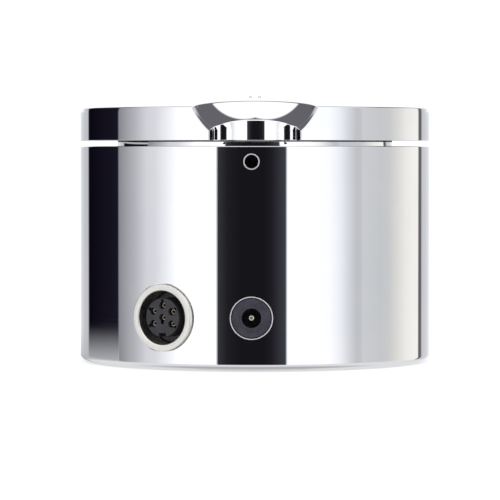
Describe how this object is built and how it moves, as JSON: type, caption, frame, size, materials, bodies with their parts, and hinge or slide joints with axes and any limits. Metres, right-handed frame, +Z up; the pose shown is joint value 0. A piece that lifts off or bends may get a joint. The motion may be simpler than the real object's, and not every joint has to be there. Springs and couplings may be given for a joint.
{
  "type": "sous vide circulator control head",
  "caption": "Short polished metal drum with a domed push-and-turn dial, finger notch, and power, probe and link sockets at the back; the control head of a sous vide circulator.",
  "frame": {"origin": "on the worktop under the middle of the drum (centre of the foot ring's contact plane)", "axes": "+Z up along the dial's axis; the connector side faces -Y; +X is to the right when looking at the connectors"},
  "size_m": [0.104, 0.1044, 0.0788],
  "materials": {
    "polished_drum": "mirror-polished metal with very faint turning lines",
    "polished_dial": "mirror-polished metal",
    "polished_trim": "bright polished jack rings",
    "nickel_shell": "warm satin nickel plate",
    "gold_contact": "gold-flashed contacts",
    "black_insulator": "moulded black insulator, slightly glossy",
    "jack_plastic": "moulded black, faint purple cast",
    "grey_plastic": "moulded grey acetal",
    "steel": "plain turned or stamped steel",
    "brass": "turned brass",
    "bronze": "sintered bronze",
    "cast_alloy": "as-cast alloy, fine grain",
    "black_rubber": "matt moulded rubber",
    "circuit_board": "green solder mask over fibreglass",
    "wire_sleeve": "heat-shrink sleeve over leads"
  },
  "bodies": {
    "housing": {"drum_shell": "polished_drum", "power_jack_bezel": "polished_trim", "probe_jack_bushing": "polished_trim", "link_socket_shell": "nickel_shell", "link_socket_nut": "nickel_shell", "power_jack_nut": "nickel_shell", "power_jack_pin": "nickel_shell", "controller_shield": "nickel_shell", "link_contact_1": "gold_contact", "link_contact_2": "gold_contact", "link_contact_3": "gold_contact", "link_contact_4": "gold_contact", "link_contact_5": "gold_contact", "link_contact_6": "gold_contact", "link_socket_insert": "black_insulator", "link_header": "black_insulator", "power_header": "black_insulator", "buzzer": "black_insulator", "encoder_sensor": "black_insulator", "select_switch_body": "black_insulator", "power_jack_body": "jack_plastic", "probe_jack_body": "jack_plastic", "power_inductor": "grey_plastic", "ballast_disc": "steel", "base_screw_1": "steel", "base_screw_2": "steel", "base_screw_3": "steel", "pillar_1": "steel", "pillar_2": "steel", "pillar_3": "steel", "pillar_screw_1": "steel", "pillar_screw_2": "steel", "pillar_screw_3": "steel", "smoothing_capacitor_1": "steel", "smoothing_capacitor_2": "steel", "return_spring": "steel", "encoder_post_1": "brass", "encoder_post_2": "brass", "encoder_post_3": "brass", "base_plate": "cast_alloy", "bearing_plate": "cast_alloy", "base_gasket": "black_rubber", "foot_ring": "black_rubber", "link_socket_washer": "black_rubber", "main_board": "circuit_board", "encoder_board": "circuit_board", "link_leads": "wire_sleeve", "power_leads": "wire_sleeve", "probe_leads": "wire_sleeve"},
    "carriage": {"press_carriage": "grey_plastic", "carriage_clip": "steel", "spindle_bush": "bronze", "select_switch_plunger": "grey_plastic"},
    "dial": {"dial_cap": "polished_dial", "dial_neck": "polished_dial", "dial_grub_screw": "steel", "dial_spindle": "steel", "spindle_clip": "steel", "encoder_magnet": "steel"}
  },
  "joints": [
    {"name": "dial_press", "type": "slide", "parent": "housing", "child": "carriage", "axis": [0, 0, -1], "range_m": [0, 0.0008], "stiffness_N_per_m": 3000, "springref_m": -0.002, "deforming": ["return_spring"]},
    {"name": "dial_turn", "type": "hinge", "parent": "carriage", "child": "dial", "pos_m": [0, 0, 0.06], "axis": [0, 0, 1], "continuous": true}
  ]
}
